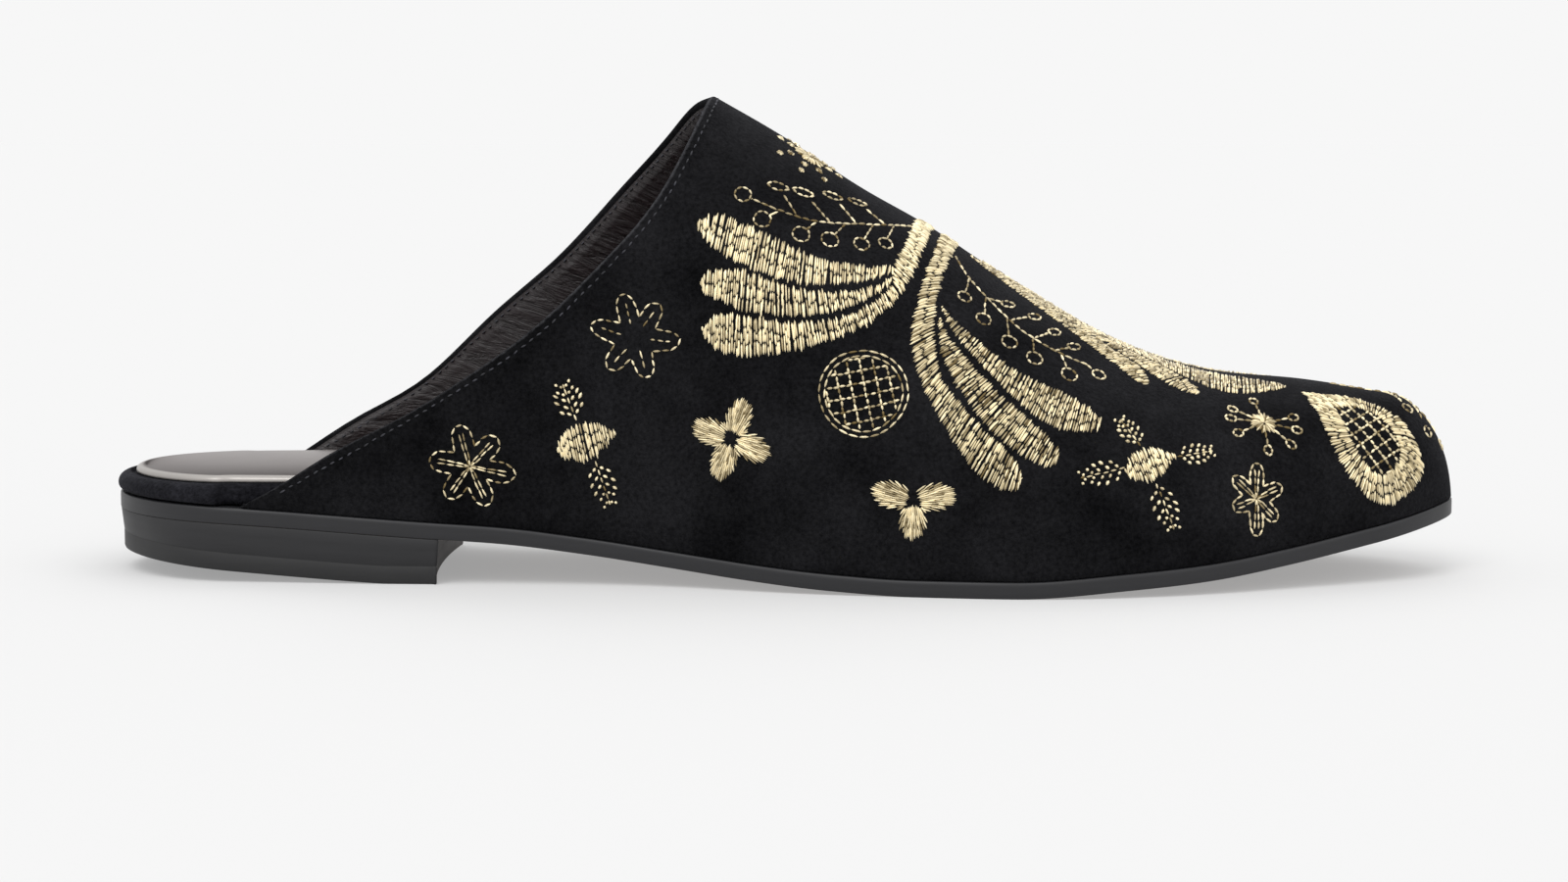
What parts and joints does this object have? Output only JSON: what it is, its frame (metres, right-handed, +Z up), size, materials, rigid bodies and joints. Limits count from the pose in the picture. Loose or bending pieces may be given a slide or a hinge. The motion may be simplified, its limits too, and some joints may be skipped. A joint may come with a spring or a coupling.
{
  "type": "mule",
  "caption": "Flat closed-toe backless mule for the right foot: hollow suede upper with a slanted collar, thin outsole with toe spring, low block heel, padded sock.",
  "frame": {"origin": "centre of the shoe's box, on the floor that the heel and the ball rest on", "axes": "+X from the heel to the toe, +Y to the inner (medial) side of this right shoe, +Z up"},
  "size_m": [0.2666, 0.0816, 0.0941],
  "materials": {
    "black_suede": "matt napped suede",
    "footbed_suede": "matt suede wrapped round the footbed's rim",
    "pewter_leather": "satin metallic pewter leather",
    "black_sole_leather": "satin black dressed edge, taupe underside",
    "black_heel_leather": "waxed black stacked heel",
    "plum_lining": "glossy dark plum lining leather, finely creased",
    "gold_thread": "metallic gold embroidery thread"
  },
  "bodies": {
    "root": {"upper": "black_suede", "footbed": "footbed_suede", "sock": "pewter_leather", "outsole": "black_sole_leather", "heel": "black_heel_leather"}
  },
  "joints": []
}
